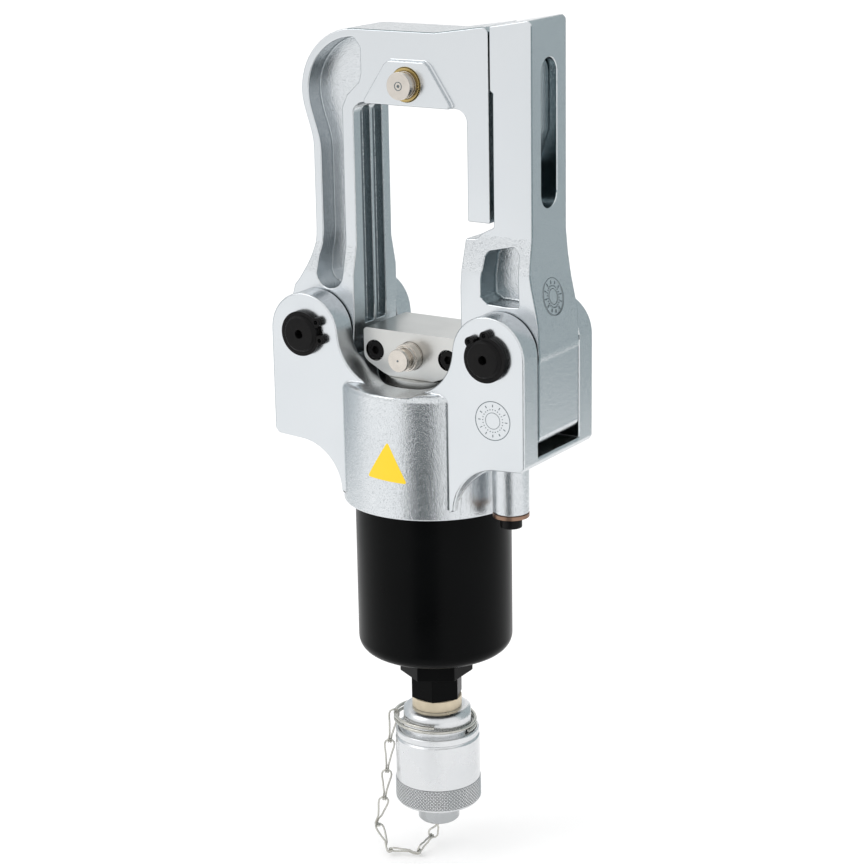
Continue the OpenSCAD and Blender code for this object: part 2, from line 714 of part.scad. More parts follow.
module chain() color([0.66, 0.65, 0.62]) on_grip() rotate(view_turn) for (i = [0:7]) link(i);

head_body();
barrel();
ram();
piston_seal();
piston_guide_ring();
ram_bush();
ram_wiper();
spring_bolt();
return_spring();
die_adapter();
adapter_screws();
lower_die_pin();
lower_pin_spring();
lower_pin_plug();
yoke();
upper_die_button();
upper_bush();
upper_button_spring();
upper_button_plug();
latch();
yoke_pin();
latch_pin();
yoke_pin_clips();
latch_pin_clips();
lug_screw();
lug_washer();
hex_adapter();
hex_nipple();
sealing_ring();
coupler_body();
coupler_poppet();
poppet_spring();
coupler_seal();
split_ring();
dust_cap();
cap_seal();
cap_swivel();
chain();
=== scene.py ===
"""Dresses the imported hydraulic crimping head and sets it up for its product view."""

import json
import logging
from collections.abc import Callable
from dataclasses import dataclass, field
from enum import Enum
from math import atan2, cos, degrees, hypot, pi, radians, sin

import bmesh
import bpy
from mathutils import Euler, Matrix, Vector


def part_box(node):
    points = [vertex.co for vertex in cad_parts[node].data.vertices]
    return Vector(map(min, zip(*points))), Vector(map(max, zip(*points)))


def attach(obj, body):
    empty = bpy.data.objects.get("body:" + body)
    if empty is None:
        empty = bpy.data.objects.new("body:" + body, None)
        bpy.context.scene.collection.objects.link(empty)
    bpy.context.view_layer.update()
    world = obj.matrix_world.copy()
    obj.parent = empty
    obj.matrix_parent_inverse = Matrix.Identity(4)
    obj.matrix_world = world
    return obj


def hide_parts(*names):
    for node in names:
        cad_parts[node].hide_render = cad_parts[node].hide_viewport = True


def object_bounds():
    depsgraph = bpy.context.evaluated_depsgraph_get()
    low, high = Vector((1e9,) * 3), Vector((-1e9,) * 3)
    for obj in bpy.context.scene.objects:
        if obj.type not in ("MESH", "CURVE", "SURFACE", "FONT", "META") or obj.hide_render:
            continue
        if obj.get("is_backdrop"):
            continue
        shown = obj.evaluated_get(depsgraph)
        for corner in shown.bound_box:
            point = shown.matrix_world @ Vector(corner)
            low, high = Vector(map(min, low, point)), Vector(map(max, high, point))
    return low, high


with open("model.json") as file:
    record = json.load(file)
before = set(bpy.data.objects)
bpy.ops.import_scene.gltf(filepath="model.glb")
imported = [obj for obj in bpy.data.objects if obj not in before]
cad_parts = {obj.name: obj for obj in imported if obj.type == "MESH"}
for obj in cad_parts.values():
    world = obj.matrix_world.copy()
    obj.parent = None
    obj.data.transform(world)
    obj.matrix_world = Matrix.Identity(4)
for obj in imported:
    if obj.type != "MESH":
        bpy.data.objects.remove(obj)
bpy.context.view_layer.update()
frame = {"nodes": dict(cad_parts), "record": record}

LOG = logging.getLogger("crimping_head")

Piece = bpy.types.Object
Socket = bpy.types.NodeSocket
Outputs = bpy.types.NodeOutputs
Inputs = dict[str | int, object]
Pair = tuple[float, float]
Triple = tuple[float, float, float]
Colour = Triple
FaceTest = Callable[[Vector, Vector], bool]

# Sizes are millimetres and heights start at the pivot pins, except where metres are named.
MM = 0.001
PIN_Z = 97.2
LIFT = Vector((0, 0, PIN_Z))

# Vertices nearer than this many metres are one.
WELD = 2e-6
# Triangles that bend by less than this many degrees are one flat face.
FLAT_BEND = 0.6
# A fillet, or a rounding, takes edges that bend by more than this many degrees.
FILLET_BEND = 60
ROUNDING_BEND = 28
# Rounded pieces are smooth where they bend by less than this many degrees.
SMOOTH_BEND = 38

# A face lies on a plane when its centre is within this many millimetres of it.
NEAR = 0.05
# A face lies square to an axis when its normal is at least this long along it.
SQUARE = 0.99

# What the painted shade value of a face gives: the finish's painted shade colour at 1, and painted
# black, the shadow of a deep gap, at 2.
FULL_SHADE = 1.0
FULL_BLACK = 2.0
PAINTED_GAP_BLACK = (0.010, 0.014, 0.015)
SPECK_WHITE = (0.95, 0.95, 0.95)
PIT_GREY = (0.16, 0.18, 0.19)

# The stretches of a noise's value that the masks spread from 0 to 1.
DRIFT_RANGE = (0.22, 0.78)
SPECK_RANGE = (0.52, 0.70)
PIT_RANGE = (0.42, 0.32)
# The coarse grain's scale as a share of the fine grain's.
COARSE_SHARE = 0.31
# The share of a blasted face's bump that its machined faces keep.
MACHINED_BUMP = 0.04

# The colour sockets of a Mix node, which share their names with its other sockets.
MIX_FIRST, MIX_SECOND, MIX_RESULT = 6, 7, 2


class Body(str, Enum):
    """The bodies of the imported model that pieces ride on."""

    HEAD = "head"
    RAM = "ram"
    LOWER_PIN = "lower_die_pin"
    YOKE = "yoke"
    UPPER_BUTTON = "upper_die_button"
    LATCH = "latch"
    SWIVEL = "cap_swivel"
    CAP = "dust_cap"


class Layer(str, Enum):
    """The values on a mesh that finishes read: blasted faces, and painted shade, up to black, for
    recesses, gaps and dark edges.
    """

    CAST = "cast"
    PAINTED_SHADE = "recess"


def at(x: float, y: float, z: float) -> Vector:
    """Turns millimetres measured from the pivot pins' height into the row frame, in metres."""
    return Vector((x * MM, y * MM, (z + PIN_Z) * MM))


def within(value: float, span: Pair) -> bool:
    """Says whether a value lies inside a span."""
    return span[0] < value < span[1]


# Editing helpers


def deselect() -> None:
    """Leaves no object selected."""
    bpy.ops.object.select_all(action="DESELECT")


def pick(obj: Piece) -> None:
    """Makes one object the only selected and the active one.

    Args:
        obj: The object to work on.
    """
    deselect()
    obj.select_set(True)
    bpy.context.view_layer.objects.active = obj


def named(name: str) -> Piece:
    """Names the object that an operator has just made, and picks it.

    Args:
        name: The name for the object and its data.

    Returns:
        The object.
    """
    obj = bpy.context.object
    obj.name = name
    obj.data.name = name
    pick(obj)
    return obj


def settle(obj: Piece) -> Piece:
    """Puts an object's place, turn and size into its mesh.

    Args:
        obj: A mesh object in its place.

    Returns:
        The same object, now at the origin.
    """
    pick(obj)
    bpy.ops.object.transform_apply(location=True, rotation=True, scale=True)
    return obj


def apply(obj: Piece, kind: str, **values: object) -> None:
    """Adds one modifier, sets it and applies it.

    Args:
        obj: The object to change.
        kind: The modifier's type.
        **values: The modifier's settings.
    """
    pick(obj)
    modifier = obj.modifiers.new(kind.title(), kind)
    for key, value in values.items():
        setattr(modifier, key, value)
    bpy.ops.object.modifier_apply(modifier=modifier.name)


def open_mesh(obj: Piece, mode: str) -> None:
    """Picks a mesh object and opens it in edit mode.

    Args:
        obj: The mesh object.
        mode: What is selected there, EDGE or FACE.
    """
    pick(obj)
    bpy.ops.object.mode_set(mode="EDIT")
    bpy.ops.mesh.select_mode(type=mode)


def close_mesh() -> None:
    """Leaves edit mode."""
    bpy.ops.object.mode_set(mode="OBJECT")


def choose_edges(obj: Piece, test: Callable[[bmesh.types.BMEdge], bool]) -> None:
    """Selects the edges that a test chooses, on a mesh that is open.

    Args:
        obj: The mesh object.
        test: Says for each edge whether it is selected.
    """
    mesh = bmesh.from_edit_mesh(obj.data)
    mesh.verts.index_update()
    for edge in mesh.edges:
        edge.select_set(bool(test(edge)))
    bmesh.update_edit_mesh(obj.data)


def smooth(obj: Piece, bend: float) -> Piece:
    """Smooths a piece's shading where it bends by less than an angle.

    Args:
        obj: The mesh object.
        bend: The angle, in degrees.

    Returns:
        The same object.
    """
    pick(obj)
    bpy.ops.object.shade_smooth_by_angle(angle=radians(bend))
    return obj


def join(name: str, parts: list[Piece]) -> Piece:
    """Joins several meshes into one piece.

    Args:
        name: The piece's name.
        parts: The meshes.

    Returns:
        The joined piece.
    """
    deselect()
    for part in parts:
        part.select_set(True)
    bpy.context.view_layer.objects.active = parts[0]
    if len(parts) > 1:
        bpy.ops.object.join()
    return named(name)


def tone(obj: Piece, layer: Layer, value: float, test: FaceTest) -> None:
    """Stores a value on the faces that a test chooses, for the finish to read.

    Args:
        obj: The mesh object.
        layer: The layer of values.
        value: The value for the chosen faces.
        test: Takes a face's centre, in millimetres from the pins' height, and its normal.
    """
    mesh = bmesh.new()
    mesh.from_mesh(obj.data)
    store = mesh.faces.layers.float.get(layer.value) or mesh.faces.layers.float.new(layer.value)
    for face in mesh.faces:
        if test(face.calc_center_median() / MM - LIFT, face.normal):
            face[store] = value
    mesh.to_mesh(obj.data)
    mesh.free()


def plain_copy(node: str, name: str) -> Piece:
    """Copies a CAD node's mesh as one closed shape with flat faces made whole.

    Args:
        node: The CAD node.
        name: The new piece's name.

    Returns:
        The new piece, unparented, at the origin.
    """
    obj = bpy.data.objects.new(name, frame["nodes"][node].data.copy())
    bpy.context.scene.collection.objects.link(obj)
    open_mesh(obj, "FACE")
    bpy.ops.mesh.select_all(action="SELECT")
    bpy.ops.mesh.remove_doubles(threshold=WELD)
    bpy.ops.mesh.customdata_custom_splitnormals_clear()
    bpy.ops.mesh.dissolve_limited(angle_limit=radians(FLAT_BEND),
                                  use_dissolve_boundaries=False)
    close_mesh()
    return obj


def fillet(obj: Piece, test: Callable[[Vector], bool], width: float, segments: int) -> None:
    """Rounds the sharp edges whose two ends both pass a test.

    Args:
        obj: The mesh object.
        test: Takes a point in millimetres from the pins' height.
        width: The fillet's width, in millimetres.
        segments: How many faces it has.
    """
    open_mesh(obj, "EDGE")
    choose_edges(obj, lambda edge: all(test(vertex.co / MM - LIFT) for vertex in edge.verts)
                 and len(edge.link_faces) == 2
                 and edge.calc_face_angle(0) > radians(FILLET_BEND))
    bpy.ops.mesh.bevel(offset=width * MM, segments=segments, clamp_overlap=True)
    close_mesh()


def round_edges(obj: Piece, width: float, segments: int = 2) -> Piece:
    """Rounds a piece's sharp edges and smooths its shading.

    Args:
        obj: The mesh object.
        width: The width of the rounding, in millimetres.
        segments: How many faces the rounding has.

    Returns:
        The same object.
    """
    apply(obj, "BEVEL", width=width * MM, segments=segments, limit_method="ANGLE",
          angle_limit=radians(ROUNDING_BEND), use_clamp_overlap=False,
          miter_outer="MITER_ARC", harden_normals=False)
    smooth(obj, SMOOTH_BEND)
    apply(obj, "WEIGHTED_NORMAL", keep_sharp=True, weight=60)
    return obj


def torus(name: str, centre: Vector, turn: Euler | Triple, radius: float, thick: float,
          around: int) -> Piece:
    """Models one ring of round section in its place.

    Args:
        name: The ring's name.
        centre: Its centre in the row frame, in metres.
        turn: How it is turned from lying flat, as Euler angles.
        radius: Its radius, in millimetres.
        thick: Its section's radius, in millimetres.
        around: How many faces it has round its axis.

    Returns:
        The ring as a mesh at the origin.
    """
    deselect()
    bpy.ops.mesh.primitive_torus_add(location=centre, rotation=turn, major_radius=radius * MM,
                                     minor_radius=thick * MM, major_segments=around,
                                     minor_segments=6)
    return settle(named(name))


def wire(name: str, points: list[Vector], radius: float, sides: int) -> Piece:
    """Sweeps a round wire along points and makes it a mesh.

    Args:
        name: The piece's name.
        points: The wire's path in the row frame, in metres.
        radius: The wire's radius, in millimetres.
        sides: How finely the section is divided.

    Returns:
        The wire as a mesh at the origin.
    """
    deselect()
    curve = bpy.data.curves.new(name, "CURVE")
    curve.dimensions = "3D"
    curve.bevel_depth = radius * MM
    curve.bevel_resolution = sides
    curve.use_fill_caps = True
    spline = curve.splines.new("POLY")
    spline.points.add(len(points) - 1)
    for spot, point in zip(spline.points, points):
        spot.co = (*point, 1)
    obj = bpy.data.objects.new(name, curve)
    bpy.context.scene.collection.objects.link(obj)
    pick(obj)
    bpy.ops.object.convert(target="MESH")
    return smooth(bpy.context.object, 60)


# Finishes


class Nodes:
    """Adds nodes to one material or group."""

    def __init__(self, tree: bpy.types.NodeTree) -> None:
        """Keeps the material's or the group's tree."""
        self.tree = tree

    def fill(self, node: bpy.types.Node, inputs: Inputs) -> None:
        """Gives a node's inputs their values.

        Args:
            node: The node.
            inputs: An output to link, or a plain value, for each input's name or number.
        """
        for key, value in inputs.items():
            if isinstance(value, Socket):
                self.tree.links.new(value, node.inputs[key])
            else:
                node.inputs[key].default_value = value

    def add(self, kind: str, inputs: Inputs, **settings: object) -> Outputs:
        """Adds a node.

        Args:
            kind: The node's type, without the words ShaderNode.
            inputs: What its inputs get, as fill takes it.
            **settings: The node's own settings.

        Returns:
            The node's outputs.
        """
        node = self.tree.nodes.new("ShaderNode" + kind)
        for key, value in settings.items():
            setattr(node, key, value)
        self.fill(node, inputs)
        return node.outputs

    def noise(self, vector: Socket, scale: Socket, detail: float) -> Socket:
        """Adds a noise and gives its value."""
        return self.add("TexNoise", {"Vector": vector, "Scale": scale, "Detail": detail})["Fac"]

    def ranged(self, value: Socket, source: Pair, target: Pair = (0, 1)) -> Socket:
        """Maps a value from one range onto another and holds it there."""
        return self.add("MapRange", {
            "Value": value, "From Min": source[0], "From Max": source[1], "To Min": target[0],
            "To Max": target[1]})["Result"]

    def total(self, first: Socket, second: Socket) -> Socket:
        """Adds up two values."""
        return self.add("Math", {0: first, 1: second}, operation="ADD")[0]

    def product(self, first: Socket, second: Socket | float) -> Socket:
        """Multiplies a value by another value or by a number."""
        return self.add("Math", {0: first, 1: second}, operation="MULTIPLY")[0]

    def blend(self, first: Socket, second: Socket | tuple, factor: Socket) -> Socket:
        """Blends a second colour into a first one."""
        return self.add("Mix", {"Factor": factor, MIX_FIRST: first, MIX_SECOND: second},
                        data_type="RGBA")[MIX_RESULT]

    def layer(self, layer: Layer) -> Socket:
        """Reads a layer of values from the mesh."""
        return self.add("Attribute", {}, attribute_name=layer.value)["Fac"]

    def mixed(self, colour: Socket, other: Colour, mask: Socket, amount: float = 1.0,
              share: Socket | None = None) -> Socket:
        """Mixes a second colour into a colour where a mask is bright.

        Args:
            colour: The colour so far.
            other: The second colour.
            mask: Where it shows.
            amount: How strongly it shows there.
            share: A second mask, such as the cast faces.

        Returns:
            The new colour.
        """
        factor = self.product(mask, amount)
        if share is not None:
            factor = self.product(factor, share)
        return self.blend(colour, (*other, 1), factor)


def shader_group(name: str, ins: dict[str, str], outs: dict[str, str]) -> tuple:
    """Makes an empty shader node group.

    Args:
        name: The group's name.
        ins: Input names and their kinds: Float, Vector or Color.
        outs: Output names and their kinds.

    Returns:
        The group's nodes, the values of its inputs and the node of its outputs.
    """
    group = bpy.data.node_groups.new(name, "ShaderNodeTree")
    for side, kinds in (("INPUT", ins), ("OUTPUT", outs)):
        for key, kind in kinds.items():
            group.interface.new_socket(name=key, in_out=side, socket_type="NodeSocket" + kind)
    return (Nodes(group), group.nodes.new("NodeGroupInput").outputs,
            group.nodes.new("NodeGroupOutput"))


def drift_group() -> bpy.types.NodeTree:
    """Builds the slow drift of colour over a surface.

    Returns:
        A group with a Color and a Mask.
    """
    nodes, ins, outs = shader_group(
        "ColourDrift", {"Vector": "Vector", "Scale": "Float", "Base": "Color", "Tint": "Color",
                        "Amount": "Float"}, {"Color": "Color", "Mask": "Float"})
    mask = nodes.ranged(nodes.noise(ins["Vector"], ins["Scale"], 2), DRIFT_RANGE)
    colour = nodes.blend(ins["Base"], ins["Tint"], nodes.product(mask, ins["Amount"]))
    nodes.fill(outs, {"Color": colour, "Mask": mask})
    return nodes.tree


def grain_group() -> bpy.types.NodeTree:
    """Builds the fine grain of a blasted, brushed or plated surface.

    Returns:
        A group with a Height, a Mask of bright specks and a mask of dark Pits.
    """
    nodes, ins, outs = shader_group("FineGrain", {"Vector": "Vector", "Scale": "Float"},
                                    {"Height": "Float", "Mask": "Float", "Pits": "Float"})
    fine = nodes.noise(ins["Vector"], ins["Scale"], 2)
    coarse = nodes.noise(ins["Vector"], nodes.product(ins["Scale"], COARSE_SHARE), 3)
    nodes.fill(outs, {"Height": nodes.total(fine, coarse), "Mask": nodes.ranged(fine, SPECK_RANGE),
                      "Pits": nodes.ranged(fine, PIT_RANGE)})
    return nodes.tree


def new_material(name: str) -> tuple[bpy.types.Material, Nodes, bpy.types.Node]:
    """Makes a material.

    Args:
        name: Its name.

    Returns:
        The material, its nodes and its shader.
    """
    material = bpy.data.materials.new(name)
    material.use_nodes = True
    return material, Nodes(material.node_tree), material.node_tree.nodes["Principled BSDF"]


@dataclass(frozen=True)
class Finish:
    """One finish of the head, with the sizes of its grain in the real scale."""

    name: str
    base: Colour
    tint: Colour
    metallic: float
    rough: Pair
    drift_scale: float = 45.0
    drift: float = 0.6
    grain_scale: float = 2600.0
    stretch: Triple = (1.0, 1.0, 1.0)
    bump: float = 0.15
    bump_depth: float = 0.00004
    speckle: float = 0.0
    pits: float = 0.0
    specular: float = 0.5
    # The colour painted as shade into recesses, gaps and dark edges, where the painted shade layer
    # asks for it.
    painted_shade_colour: Colour | None = None
    blasted: bool = False

    def build(self, groups: dict[str, bpy.types.NodeTree]) -> bpy.types.Material:
        """Makes the material.

        Args:
            groups: The shared node groups by name.

        Returns:
            The new material.
        """
        material, nodes, shader = new_material(self.name)
        place = nodes.add("TexCoord", {})["Object"]
        stretched = nodes.add("Mapping", {"Vector": place, "Scale": self.stretch})["Vector"]
        drift = nodes.add("Group", {"Vector": place, "Scale": self.drift_scale,
                                    "Base": (*self.base, 1), "Tint": (*self.tint, 1),
                                    "Amount": self.drift}, node_tree=groups["drift"])
        grain = nodes.add("Group", {"Vector": stretched, "Scale": self.grain_scale},
                          node_tree=groups["grain"])
        colour = drift["Color"]
        height = grain["Height"]
        cast = nodes.layer(Layer.CAST) if self.blasted else None
        if cast is not None:
            height = nodes.product(nodes.ranged(cast, (0, 1), (MACHINED_BUMP, 1)), height)
        # Painted shade: mixes the shade colour in by the painted shade layer, then black where
        # that value passes 1.
        if self.painted_shade_colour:
            recess = nodes.layer(Layer.PAINTED_SHADE)
            painted_black = nodes.ranged(recess, (FULL_SHADE, FULL_BLACK))
            colour = nodes.mixed(colour, self.painted_shade_colour, recess)
            colour = nodes.mixed(colour, PAINTED_GAP_BLACK, painted_black)
        if self.speckle:
            colour = nodes.mixed(colour, SPECK_WHITE, grain["Mask"], self.speckle, cast)
        if self.pits:
            colour = nodes.mixed(colour, PIT_GREY, grain["Pits"], self.pits, cast)
        bump = nodes.add("Bump", {"Strength": self.bump, "Distance": self.bump_depth,
                                  "Height": height})["Normal"]
        nodes.fill(shader, {"Metallic": self.metallic, "Specular IOR Level": self.specular,
                            "Base Color": colour, "Normal": bump,
                            "Roughness": nodes.ranged(drift["Mask"], (0, 1), self.rough)})
        return material


FINISHES = {
    # The zinc's shade colour is painted shade for its pockets, grooves, slots and dark edge
    # reflections.
    "zinc": Finish(
        "BrightZinc", (0.63, 0.655, 0.675), (0.60, 0.63, 0.655), 1.0, (0.20, 0.27), drift_scale=34,
        grain_scale=2400, bump=1.0, bump_depth=0.00008, speckle=0.3, pits=0.5, blasted=True,
        painted_shade_colour=(0.15, 0.205, 0.225)),
    "zinc_mark": Finish(
        "StampedZinc", (0.22, 0.25, 0.265), (0.17, 0.20, 0.21), 1.0, (0.3, 0.4), drift_scale=300),
    "black_barrel": Finish(
        "SatinBlackBarrel", (0.0016, 0.0018, 0.0019), (0.0028, 0.0032, 0.0034), 0.0, (0.26, 0.34),
        grain_scale=3200, bump=0.08, specular=0.05),
    "black_oxide": Finish(
        "BlackOxide", (0.0035, 0.0035, 0.004), (0.009, 0.0085, 0.008), 0.0, (0.28, 0.42),
        drift_scale=220, grain_scale=3600, bump=0.10, specular=0.11),
    "ground_steel": Finish(
        "GroundSteel", (0.60, 0.60, 0.585), (0.48, 0.49, 0.48), 1.0, (0.26, 0.36),
        stretch=(0.10, 1, 1), bump=0.3),
    "nickel": Finish(
        "TurnedNickel", (0.62, 0.58, 0.53), (0.50, 0.47, 0.43), 1.0, (0.18, 0.28), drift_scale=300,
        grain_scale=4200, bump=0.12),
    "brass": Finish(
        "TurnedBrass", (0.50, 0.38, 0.16), (0.38, 0.28, 0.12), 1.0, (0.24, 0.34), drift_scale=300,
        bump=0.1),
    "bronze": Finish("Bronze", (0.55, 0.36, 0.18), (0.42, 0.28, 0.14), 1.0, (0.3, 0.4)),
    "beige_seal": Finish(
        "BeigeSeal", (0.66, 0.57, 0.42), (0.52, 0.45, 0.33), 0.25, (0.35, 0.5), drift_scale=260,
        bump=0.2),
    "copper": Finish(
        "DullCopper", (0.33, 0.205, 0.145), (0.22, 0.145, 0.11), 1.0, (0.3, 0.42),
        drift_scale=300),
    "turned_end": Finish(
        "TurnedEnd", (0.47, 0.485, 0.495), (0.40, 0.415, 0.425), 1.0, (0.22, 0.32),
        drift_scale=120, stretch=(1, 1, 6), bump=0.12),
    # The coupling's shade colour is painted shade in the knurls' grooves.
    "coupling_steel": Finish(
        "CouplingZinc", (0.71, 0.72, 0.73), (0.63, 0.65, 0.67), 1.0, (0.22, 0.32), drift_scale=70,
        grain_scale=1900, bump=0.4, bump_depth=0.00008, speckle=0.06, painted_shade_colour=(0.022, 0.028, 0.028)),
    "chain_steel": Finish(
        "DrawnWire", (0.58, 0.57, 0.53), (0.40, 0.40, 0.37), 1.0, (0.2, 0.32), drift_scale=400,
        grain_scale=4000, bump=0.1),
    "spring_steel": Finish("SpringWire", (0.42, 0.43, 0.45), (0.30, 0.31, 0.33), 1.0, (0.3, 0.4)),
    "black_rubber": Finish(
        "BlackRubber", (0.01, 0.01, 0.01), (0.02, 0.02, 0.02), 0.0, (0.5, 0.65), bump=0.3),
    "yellow_patch": Finish(
        "YellowPatch", (0.88, 0.62, 0.02), (0.82, 0.56, 0.018), 0.0, (0.34, 0.42), bump=0.05,
        specular=0.4),
}


class Workshop:
    """Holds the finished materials and puts pieces on their bodies."""

    def __init__(self) -> None:
        """Builds the shared node groups and every finish."""
        groups = {"drift": drift_group(), "grain": grain_group()}
        self.materials = {key: finish.build(groups) for key, finish in FINISHES.items()}
        self.slots = {row["node"]: row["material_slot"] for row in frame["record"]["subparts"]}

    def dress(self, obj: Piece, finish: str) -> None:
        """Gives a mesh one finish all over."""
        obj.data.materials.clear()
        obj.data.materials.append(self.materials[finish])

    def dress_nodes(self) -> None:
        """Gives each CAD node the finish of its slot."""
        for name, obj in frame["nodes"].items():
            self.dress(obj, self.slots[name])

    def mount(self, obj: Piece, body: Body, slot: str, *stands_for: str,
              finish: str | None = None) -> None:
        """Dresses a piece, puts it on its body and hides the CAD nodes that it stands for.

        Args:
            obj: The piece.
            body: The body it rides on.
            slot: The record's material slot.
            *stands_for: CAD nodes that it replaces.
            finish: The finish, where it isn't the slot's own.
        """
        self.dress(obj, finish or slot)
        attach(obj, body.value)
        if stands_for:
            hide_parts(*stands_for)
        LOG.info("%s rides on %s with %d faces", obj.name, body.value, len(obj.data.polygons))


# Sub-assemblies


@dataclass
class Stamp:
    """A shallow stamped ring with plain ticks round it."""

    name: str
    # The centre on the face, in metres, and the face's outward direction.
    centre: Vector
    out: Vector
    radius: float
    # How heavy the lines are.
    weight: float = 1.15
    # Each ring's share of the radius, and its line's thickness.
    rings: tuple[Pair, ...] = ((1.0, 0.16), (0.42, 0.11))
    # Each round of ticks: its share of the radius, their number and their length.
    ticks: tuple[tuple[float, int, float], ...] = ((0.78, 12, 0.9), (0.58, 24, 0.35))
    tick_width: float = 0.3
    tick_rise: float = 0.16

    def build(self) -> Piece:
        """Models the rings and the ticks.

        Returns:
            The stamp as one mesh at the origin.
        """
        facing = self.out.to_track_quat("Z", "Y")
        parts = [torus(self.name + "_ring", self.centre, facing.to_euler(), self.radius * share,
                       thick * self.weight, 56) for share, thick in self.rings]
        for share, count, length in self.ticks:
            for k in range(count):
                angle = 2 * pi * k / count
                place = facing @ Vector((cos(angle), sin(angle), 0))
                deselect()
                bpy.ops.mesh.primitive_cube_add(
                    size=MM, location=self.centre + place * self.radius * share * MM)
                tick = named(self.name + "_tick")
                spin = Matrix.Rotation(angle, 4, "Z")
                tick.rotation_euler = (facing.to_matrix().to_4x4() @ spin).to_euler()
                tick.scale = (length * self.weight, self.tick_width * self.weight,
                              self.tick_rise * self.weight)
                parts.append(settle(tick))
        return smooth(join(self.name, parts), 50)


@dataclass
class HeadForging:
    """The forged head: ears, boss and lug, with its machined and blasted faces told apart and
    painted black shade on its slot walls.
    """

    ear_y: float = 26.6
    slot_y: float = 15.7
    slot_recess: float = 1.8
    rim_r: float = field(default_factory=lambda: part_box("head_body")[1][1] / MM)
    rounding: float = 0.8
    stamp_x: float = 44.5
    stamp_z: float = -24.2
    stamp_r: float = 7.6
    # The yellow patch's corners: along the rim from the front, and the height.
    patch_corners: tuple[Pair, ...] = ((2.4, -36.2), (-7.6, -51.6), (10.4, -52.6))
    patch_round: float = 1.3
    patch_thick: float = 0.07
    patch_sunk: float = 0.04
    patch_cuts: range = range(-9, 12)

    def is_cast(self, middle: Vector, normal: Vector) -> bool:
        """Says whether a face is blasted: all but the ears' flats and what faces down."""
        on_flat = abs(abs(middle.y) - self.ear_y) < NEAR and abs(normal.y) >= SQUARE
        return not on_flat and normal.z >= -0.9

    def in_slot(self, middle: Vector, normal: Vector) -> bool:
        """Says whether a face is a side wall of the slots for yoke and latch."""
        return abs(middle.y) < self.slot_y + 2 * NEAR and abs(normal.y) > 0.9

    def build(self, shop: Workshop) -> None:
        """Builds the forging and the marks on it.

        Args:
            shop: The workshop that mounts them.
        """
        head = plain_copy("head_body", "head_forging")
        tone(head, Layer.CAST, 1.0, self.is_cast)
        # Paints the slot walls near black: painted shadow in the narrow gaps beside yoke and
        # latch.
        tone(head, Layer.PAINTED_SHADE, self.slot_recess, self.in_slot)
        round_edges(head, self.rounding, 3)
        shop.mount(head, Body.HEAD, "zinc", "head_body")
        ear_stamp = Stamp("ear_stamp", at(self.stamp_x, -self.ear_y, self.stamp_z),
                          Vector((0, -1, 0)), self.stamp_r)
        shop.mount(ear_stamp.build(), Body.HEAD, "zinc", finish="zinc_mark")
        shop.mount(self.patch(), Body.HEAD, "zinc", finish="yellow_patch")

    def patch(self) -> Piece:
        """Models the plain yellow patch with rounded corners, wrapped round the boss.

        Returns:
            The patch, a thin curved plate.
        """
        deselect()
        bpy.ops.mesh.primitive_cylinder_add(vertices=3, radius=1, depth=1, location=(0, 0, 0))
        patch = named("yellow_patch")
        for vertex in patch.data.vertices:
            angle = degrees(atan2(vertex.co.y, vertex.co.x))
            along, height = self.patch_corners[round((angle - 90) / 120) % 3]
            vertex.co = (along, height, self.patch_thick if vertex.co.z > 0 else 0)
        open_mesh(patch, "EDGE")
        choose_edges(patch, lambda edge: edge.verts[0].co.z != edge.verts[1].co.z)
        bpy.ops.mesh.bevel(offset=self.patch_round, segments=6, affect="EDGES")
        bpy.ops.mesh.select_all(action="SELECT")
        bpy.ops.mesh.normals_make_consistent(inside=False)
        for cut in self.patch_cuts:
            bpy.ops.mesh.select_all(action="SELECT")
            bpy.ops.mesh.bisect(plane_co=(cut, 0, 0), plane_no=(1, 0, 0))
        close_mesh()
        for vertex in patch.data.vertices:
            angle = vertex.co.x / self.rim_r - pi / 2
            radius = self.rim_r - self.patch_sunk + vertex.co.z
            vertex.co = at(radius * cos(angle), radius * sin(angle), vertex.co.y)
        return smooth(patch, 40)


def off_sides(side_y: float) -> FaceTest:
    """Makes the test for an arm's blasted faces: all but the broad sides beyond a distance."""
    return lambda middle, normal: abs(normal.y) < SQUARE or abs(middle.y) < side_y


